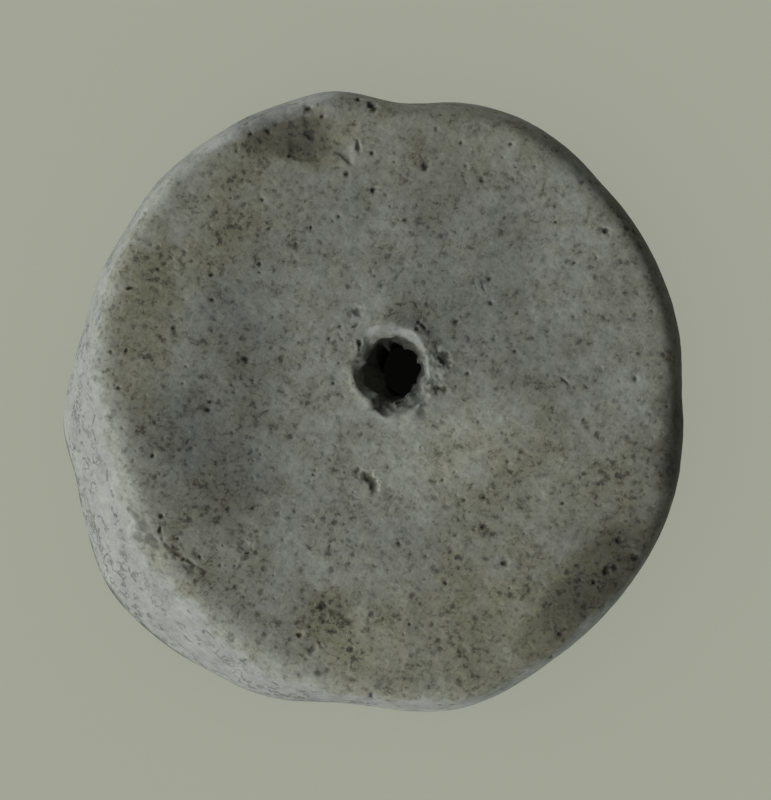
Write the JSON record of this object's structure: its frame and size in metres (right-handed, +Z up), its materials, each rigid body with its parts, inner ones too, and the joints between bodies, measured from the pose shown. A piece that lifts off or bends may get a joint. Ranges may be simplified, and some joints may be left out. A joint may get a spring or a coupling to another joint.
{
  "type": "perforated clay disc",
  "caption": "Hand-modelled disc of coarse fired clay, pressed out of round, with a rounded edge and a raised-lipped hole pierced right through beside its middle.",
  "frame": {"origin": "middle of the disc's outline, on the plane of its flat underside", "axes": "+Z up through the disc, from its flat underside to the dished face with the hole's raised lip; +Y towards the thumb press in the edge"},
  "size_m": [0.1, 0.0998, 0.0253],
  "materials": {
    "fired_clay": "dull, coarse, unglazed low-fired clay with pores and scars"
  },
  "bodies": {
    "root": {"clay_disc": "fired_clay"}
  },
  "joints": []
}
